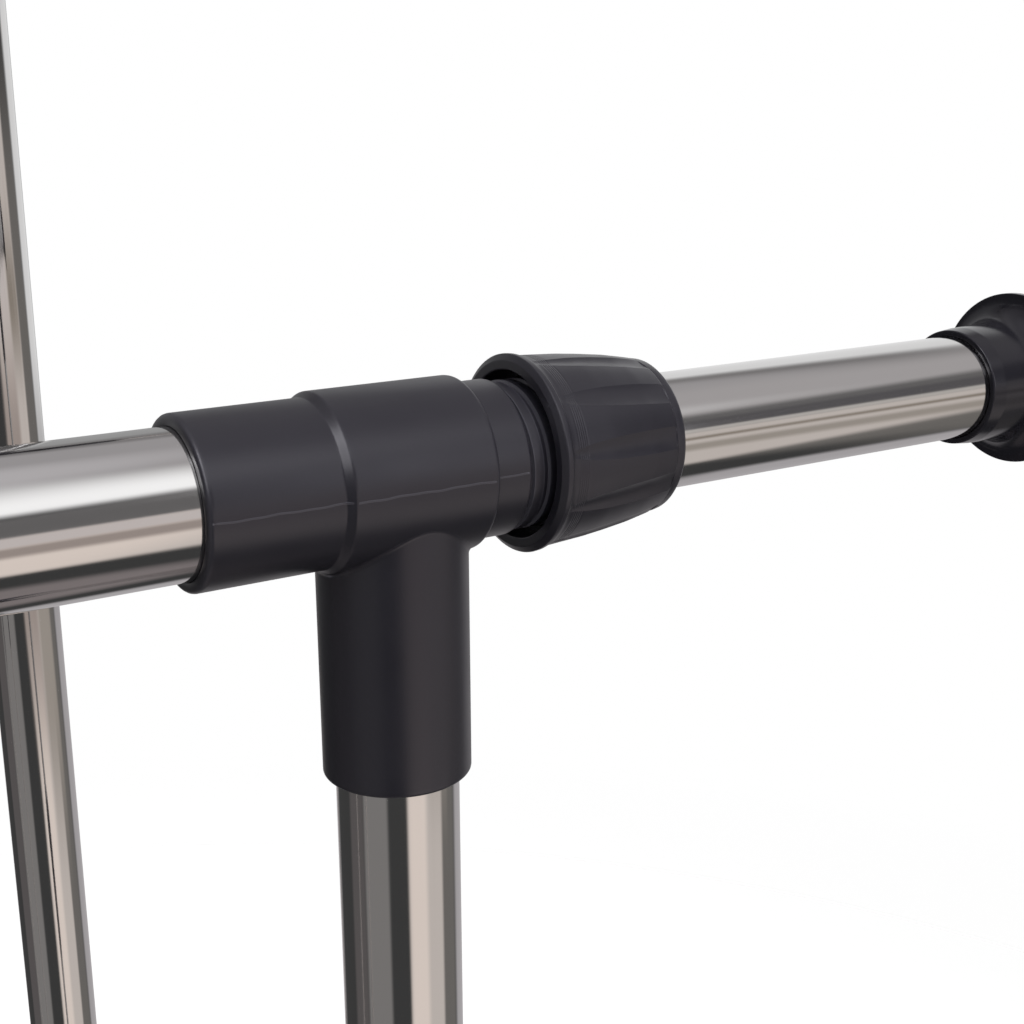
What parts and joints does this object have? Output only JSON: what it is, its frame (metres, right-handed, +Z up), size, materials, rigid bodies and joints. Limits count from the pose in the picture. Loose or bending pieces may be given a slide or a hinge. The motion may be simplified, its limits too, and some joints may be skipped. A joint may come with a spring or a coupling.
{
  "type": "rolling clothes rack",
  "caption": "Rolling garment rack: paired polished steel rails on telescopic posts, twist-lock nuts, pull-out rail ends with flared stops, moulded feet and swivel casters.",
  "frame": {"origin": "middle of the footprint, on the floor under the wheels", "axes": "+X along the rails to the right-hand end, +Y from the lower front rail to the higher back rail, +Z up"},
  "size_m": [1.135, 0.44, 1.471],
  "materials": {
    "steel": "polished stainless steel",
    "black_plastic": "satin moulded polypropylene",
    "nylon": "natural nylon",
    "wheel_rubber": "matt caster tread"
  },
  "bodies": {
    "base": {"left_foot": "black_plastic", "right_foot": "black_plastic", "front_lower_bar": "steel", "back_lower_bar": "steel", "front_left_lower_post": "steel", "front_left_post_reducer": "black_plastic", "front_right_lower_post": "steel", "front_right_post_reducer": "black_plastic", "back_left_lower_post": "steel", "back_left_post_reducer": "black_plastic", "back_right_lower_post": "steel", "back_right_post_reducer": "black_plastic"},
    "front_carriage": {"front_rail": "steel", "front_left_tee": "black_plastic", "front_left_upper_post": "steel", "front_right_tee": "black_plastic", "front_right_upper_post": "steel"},
    "back_carriage": {"back_rail": "steel", "back_left_tee": "black_plastic", "back_left_upper_post": "steel", "back_right_tee": "black_plastic", "back_right_upper_post": "steel"},
    "front_left_slider": {"front_left_extension": "steel", "front_left_glide": "nylon", "front_left_end_stop": "black_plastic"},
    "front_left_rail_clamp": {"front_left_rail_collet": "nylon"},
    "front_left_rail_twist": {"front_left_rail_nut": "black_plastic"},
    "front_left_post_clamp": {"front_left_post_collet": "nylon"},
    "front_left_post_twist": {"front_left_post_nut": "black_plastic"},
    "front_left_caster": {"front_left_caster_fork": "black_plastic"},
    "front_left_wheel": {"front_left_caster_wheel": "wheel_rubber"},
    "front_left_brake": {"front_left_brake_lever": "black_plastic"},
    "front_right_slider": {"front_right_extension": "steel", "front_right_glide": "nylon", "front_right_end_stop": "black_plastic"},
    "front_right_rail_clamp": {"front_right_rail_collet": "nylon"},
    "front_right_rail_twist": {"front_right_rail_nut": "black_plastic"},
    "front_right_post_clamp": {"front_right_post_collet": "nylon"},
    "front_right_post_twist": {"front_right_post_nut": "black_plastic"},
    "front_right_caster": {"front_right_caster_fork": "black_plastic"},
    "front_right_wheel": {"front_right_caster_wheel": "wheel_rubber"},
    "front_right_brake": {"front_right_brake_lever": "black_plastic"},
    "back_left_slider": {"back_left_extension": "steel", "back_left_glide": "nylon", "back_left_end_stop": "black_plastic"},
    "back_left_rail_clamp": {"back_left_rail_collet": "nylon"},
    "back_left_rail_twist": {"back_left_rail_nut": "black_plastic"},
    "back_left_post_clamp": {"back_left_post_collet": "nylon"},
    "back_left_post_twist": {"back_left_post_nut": "black_plastic"},
    "back_left_caster": {"back_left_caster_fork": "black_plastic"},
    "back_left_wheel": {"back_left_caster_wheel": "wheel_rubber"},
    "back_right_slider": {"back_right_extension": "steel", "back_right_glide": "nylon", "back_right_end_stop": "black_plastic"},
    "back_right_rail_clamp": {"back_right_rail_collet": "nylon"},
    "back_right_rail_twist": {"back_right_rail_nut": "black_plastic"},
    "back_right_post_clamp": {"back_right_post_collet": "nylon"},
    "back_right_post_twist": {"back_right_post_nut": "black_plastic"},
    "back_right_caster": {"back_right_caster_fork": "black_plastic"},
    "back_right_wheel": {"back_right_caster_wheel": "wheel_rubber"}
  },
  "joints": [
    {"name": "front_height", "type": "slide", "parent": "base", "child": "front_carriage", "axis": [0, 0, 1], "range_m": [-0.24, 0.35]},
    {"name": "back_height", "type": "slide", "parent": "base", "child": "back_carriage", "axis": [0, 0, 1], "range_m": [-0.49, 0.1]},
    {"name": "front_left_extend", "type": "slide", "parent": "front_carriage", "child": "front_left_slider", "axis": [-1, 0, 0], "range_m": [-0.09, 0.19]},
    {"name": "front_left_rail_clamp_travel", "type": "slide", "parent": "front_carriage", "child": "front_left_rail_clamp", "axis": [1, 0, 0], "range_m": [0, 0.003]},
    {"name": "front_left_rail_nut_turn", "type": "hinge", "parent": "front_left_rail_clamp", "child": "front_left_rail_twist", "pos_m": [-0.431, -0.145, 1.2], "axis": [1, 0, 0], "range_deg": [0, 360]},
    {"name": "front_left_post_clamp_travel", "type": "slide", "parent": "base", "child": "front_left_post_clamp", "axis": [0, 0, -1], "range_m": [0, 0.003]},
    {"name": "front_left_post_nut_turn", "type": "hinge", "parent": "front_left_post_clamp", "child": "front_left_post_twist", "pos_m": [-0.3875, -0.145, 0.875], "axis": [0, 0, -1], "range_deg": [0, 360]},
    {"name": "front_left_caster_swivel", "type": "hinge", "parent": "base", "child": "front_left_caster", "pos_m": [-0.3875, -0.19, 0.064], "axis": [0, 0, 1], "continuous": true},
    {"name": "front_left_wheel_roll", "type": "hinge", "parent": "front_left_caster", "child": "front_left_wheel", "pos_m": [-0.4045, -0.19, 0.025], "axis": [0, 1, 0], "continuous": true},
    {"name": "front_left_brake_press", "type": "hinge", "parent": "front_left_caster", "child": "front_left_brake", "pos_m": [-0.4215, -0.19, 0.053], "axis": [0, -1, 0], "range_deg": [0, 15]},
    {"name": "front_right_extend", "type": "slide", "parent": "front_carriage", "child": "front_right_slider", "axis": [1, 0, 0], "range_m": [-0.09, 0.19]},
    {"name": "front_right_rail_clamp_travel", "type": "slide", "parent": "front_carriage", "child": "front_right_rail_clamp", "axis": [-1, 0, 0], "range_m": [0, 0.003]},
    {"name": "front_right_rail_nut_turn", "type": "hinge", "parent": "front_right_rail_clamp", "child": "front_right_rail_twist", "pos_m": [0.431, -0.145, 1.2], "axis": [-1, 0, 0], "range_deg": [0, 360]},
    {"name": "front_right_post_clamp_travel", "type": "slide", "parent": "base", "child": "front_right_post_clamp", "axis": [0, 0, -1], "range_m": [0, 0.003]},
    {"name": "front_right_post_nut_turn", "type": "hinge", "parent": "front_right_post_clamp", "child": "front_right_post_twist", "pos_m": [0.3875, -0.145, 0.875], "axis": [0, 0, -1], "range_deg": [0, 360]},
    {"name": "front_right_caster_swivel", "type": "hinge", "parent": "base", "child": "front_right_caster", "pos_m": [0.3875, -0.19, 0.064], "axis": [0, 0, 1], "continuous": true},
    {"name": "front_right_wheel_roll", "type": "hinge", "parent": "front_right_caster", "child": "front_right_wheel", "pos_m": [0.3705, -0.19, 0.025], "axis": [0, 1, 0], "continuous": true},
    {"name": "front_right_brake_press", "type": "hinge", "parent": "front_right_caster", "child": "front_right_brake", "pos_m": [0.3535, -0.19, 0.053], "axis": [0, -1, 0], "range_deg": [0, 15]},
    {"name": "back_left_extend", "type": "slide", "parent": "back_carriage", "child": "back_left_slider", "axis": [-1, 0, 0], "range_m": [-0.09, 0.19]},
    {"name": "back_left_rail_clamp_travel", "type": "slide", "parent": "back_carriage", "child": "back_left_rail_clamp", "axis": [1, 0, 0], "range_m": [0, 0.003]},
    {"name": "back_left_rail_nut_turn", "type": "hinge", "parent": "back_left_rail_clamp", "child": "back_left_rail_twist", "pos_m": [-0.431, 0.145, 1.45], "axis": [1, 0, 0], "range_deg": [0, 360]},
    {"name": "back_left_post_clamp_travel", "type": "slide", "parent": "base", "child": "back_left_post_clamp", "axis": [0, 0, -1], "range_m": [0, 0.003]},
    {"name": "back_left_post_nut_turn", "type": "hinge", "parent": "back_left_post_clamp", "child": "back_left_post_twist", "pos_m": [-0.3875, 0.145, 0.875], "axis": [0, 0, -1], "range_deg": [0, 360]},
    {"name": "back_left_caster_swivel", "type": "hinge", "parent": "base", "child": "back_left_caster", "pos_m": [-0.3875, 0.19, 0.064], "axis": [0, 0, 1], "continuous": true},
    {"name": "back_left_wheel_roll", "type": "hinge", "parent": "back_left_caster", "child": "back_left_wheel", "pos_m": [-0.4045, 0.19, 0.025], "axis": [0, 1, 0], "continuous": true},
    {"name": "back_right_extend", "type": "slide", "parent": "back_carriage", "child": "back_right_slider", "axis": [1, 0, 0], "range_m": [-0.09, 0.19]},
    {"name": "back_right_rail_clamp_travel", "type": "slide", "parent": "back_carriage", "child": "back_right_rail_clamp", "axis": [-1, 0, 0], "range_m": [0, 0.003]},
    {"name": "back_right_rail_nut_turn", "type": "hinge", "parent": "back_right_rail_clamp", "child": "back_right_rail_twist", "pos_m": [0.431, 0.145, 1.45], "axis": [-1, 0, 0], "range_deg": [0, 360]},
    {"name": "back_right_post_clamp_travel", "type": "slide", "parent": "base", "child": "back_right_post_clamp", "axis": [0, 0, -1], "range_m": [0, 0.003]},
    {"name": "back_right_post_nut_turn", "type": "hinge", "parent": "back_right_post_clamp", "child": "back_right_post_twist", "pos_m": [0.3875, 0.145, 0.875], "axis": [0, 0, -1], "range_deg": [0, 360]},
    {"name": "back_right_caster_swivel", "type": "hinge", "parent": "base", "child": "back_right_caster", "pos_m": [0.3875, 0.19, 0.064], "axis": [0, 0, 1], "continuous": true},
    {"name": "back_right_wheel_roll", "type": "hinge", "parent": "back_right_caster", "child": "back_right_wheel", "pos_m": [0.3705, 0.19, 0.025], "axis": [0, 1, 0], "continuous": true}
  ],
  "couplings": [
    {"joint": "front_left_rail_clamp_travel", "follows": "front_left_rail_nut_turn", "m_per_rad": 0.00047746},
    {"joint": "front_left_post_clamp_travel", "follows": "front_left_post_nut_turn", "m_per_rad": 0.00047746},
    {"joint": "front_right_rail_clamp_travel", "follows": "front_right_rail_nut_turn", "m_per_rad": 0.00047746},
    {"joint": "front_right_post_clamp_travel", "follows": "front_right_post_nut_turn", "m_per_rad": 0.00047746},
    {"joint": "back_left_rail_clamp_travel", "follows": "back_left_rail_nut_turn", "m_per_rad": 0.00047746},
    {"joint": "back_left_post_clamp_travel", "follows": "back_left_post_nut_turn", "m_per_rad": 0.00047746},
    {"joint": "back_right_rail_clamp_travel", "follows": "back_right_rail_nut_turn", "m_per_rad": 0.00047746},
    {"joint": "back_right_post_clamp_travel", "follows": "back_right_post_nut_turn", "m_per_rad": 0.00047746}
  ]
}
